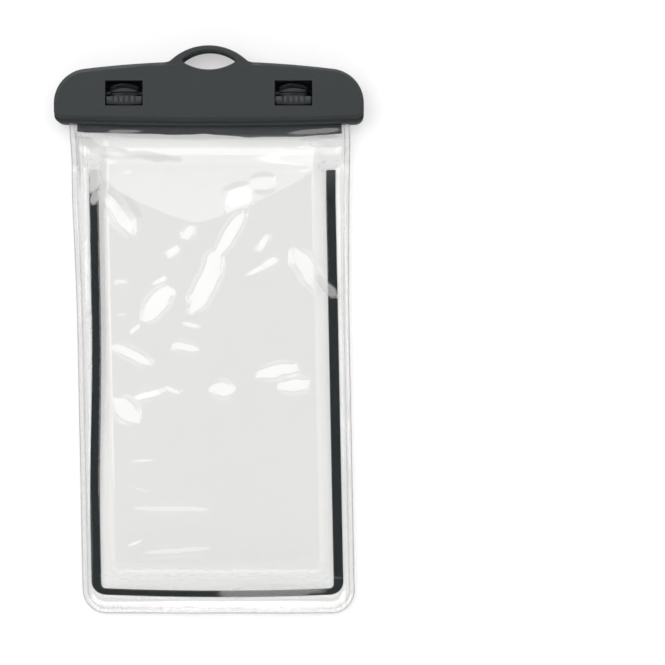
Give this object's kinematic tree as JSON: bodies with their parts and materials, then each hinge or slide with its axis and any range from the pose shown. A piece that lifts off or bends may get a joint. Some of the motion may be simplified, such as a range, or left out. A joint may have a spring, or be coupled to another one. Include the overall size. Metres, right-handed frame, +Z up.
{
  "type": "waterproof phone pouch",
  "caption": "Clear soft-film phone pouch with a rigid two-jaw closure, turning lock rollers, a carrying eye and a black edge strip.",
  "frame": {"origin": "centre of the pouch's outline, on the plane it lies on", "axes": "+X across the bag, +Y towards the closure and its carrying eye, +Z up through the front"},
  "size_m": [0.1256, 0.231, 0.0125],
  "materials": {
    "jaw_plastic": "fine leather grain, satin",
    "roller_plastic": "smooth, half gloss",
    "bar_plastic": "smooth satin",
    "gasket_rubber": "soft matte",
    "clear_film": "clear, glossy, lightly wrinkled",
    "strip_rubber": "fine grained matte"
  },
  "bodies": {
    "pouch": {"rear_jaw": "jaw_plastic", "front_jaw": "jaw_plastic", "rear_film_bar": "bar_plastic", "front_film_bar": "bar_plastic", "seal_gasket": "gasket_rubber", "rear_sheet": "clear_film", "front_sheet": "clear_film", "edge_strip": "strip_rubber"},
    "lock_roller_left": {"lock_roller_left": "roller_plastic"},
    "lock_roller_right": {"lock_roller_right": "roller_plastic"}
  },
  "joints": [
    {"name": "left_roller_turn", "type": "hinge", "parent": "pouch", "child": "lock_roller_left", "pos_m": [-0.0343, 0.09615, 0.0076], "axis": [-1, 0, 0], "range_deg": [0, 90]},
    {"name": "right_roller_turn", "type": "hinge", "parent": "pouch", "child": "lock_roller_right", "pos_m": [0.0343, 0.09615, 0.0076], "axis": [-1, 0, 0], "range_deg": [0, 90]}
  ]
}
